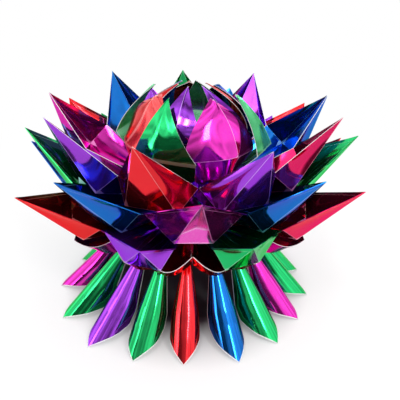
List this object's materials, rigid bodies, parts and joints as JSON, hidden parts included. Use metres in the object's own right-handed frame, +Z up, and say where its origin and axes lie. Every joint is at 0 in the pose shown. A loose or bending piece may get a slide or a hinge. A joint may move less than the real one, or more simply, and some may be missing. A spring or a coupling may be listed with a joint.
{
  "type": "paper lotus flower",
  "caption": "Standing paper lotus of mirror foil card, with trough-shaped legs, a ring of scoops, three tiers of folded pointed petals and a closed bud in five colours",
  "frame": {"origin": "where the flower's upright axis meets the plane that the legs' tips stand on", "axes": "+Z up along the flower's axis, -Y the side that the picture shows, +X its right"},
  "size_m": [0.2397, 0.2373, 0.1618],
  "materials": {
    "red_foil": "metallised mirror gloss, saturated red",
    "magenta_foil": "metallised mirror gloss, magenta",
    "violet_foil": "metallised mirror gloss, violet",
    "blue_foil": "metallised mirror gloss, blue",
    "green_foil": "metallised mirror gloss, green",
    "collar_foil": "metallised mirror gloss, mixed dark colours, plain card inside"
  },
  "bodies": {
    "root": {"low_petal_1": "green_foil", "low_petal_2": "red_foil", "low_petal_3": "red_foil", "low_petal_4": "violet_foil", "low_petal_5": "magenta_foil", "low_petal_6": "green_foil", "low_petal_7": "blue_foil", "low_petal_8": "red_foil", "low_petal_9": "violet_foil", "middle_petal_1": "magenta_foil", "middle_petal_2": "blue_foil", "middle_petal_3": "green_foil", "middle_petal_4": "red_foil", "middle_petal_5": "blue_foil", "middle_petal_6": "violet_foil", "middle_petal_7": "red_foil", "middle_petal_8": "green_foil", "middle_petal_9": "blue_foil", "top_petal_1": "violet_foil", "top_petal_2": "red_foil", "top_petal_3": "blue_foil", "top_petal_4": "violet_foil", "top_petal_5": "green_foil", "top_petal_6": "blue_foil", "top_petal_7": "magenta_foil", "top_petal_8": "violet_foil", "top_petal_9": "red_foil", "leg_1": "red_foil", "leg_2": "blue_foil", "leg_3": "green_foil", "leg_4": "magenta_foil", "leg_5": "green_foil", "leg_6": "green_foil", "leg_7": "blue_foil", "leg_8": "red_foil", "leg_9": "violet_foil", "leg_10": "magenta_foil", "leg_11": "blue_foil", "leg_12": "red_foil", "leg_13": "violet_foil", "leg_14": "green_foil", "leg_15": "magenta_foil", "leg_16": "green_foil", "leg_17": "violet_foil", "leg_18": "green_foil", "bud_petal_1": "magenta_foil", "bud_petal_2": "green_foil", "bud_petal_3": "blue_foil", "bud_petal_4": "red_foil", "bud_petal_5": "green_foil", "bud_petal_6": "red_foil", "bud_petal_7": "green_foil", "heart_petal_1": "violet_foil", "heart_petal_2": "violet_foil", "heart_petal_3": "red_foil", "heart_petal_4": "green_foil", "heart_petal_5": "blue_foil", "heart_petal_6": "red_foil", "scooped_collar": "collar_foil"}
  },
  "joints": []
}
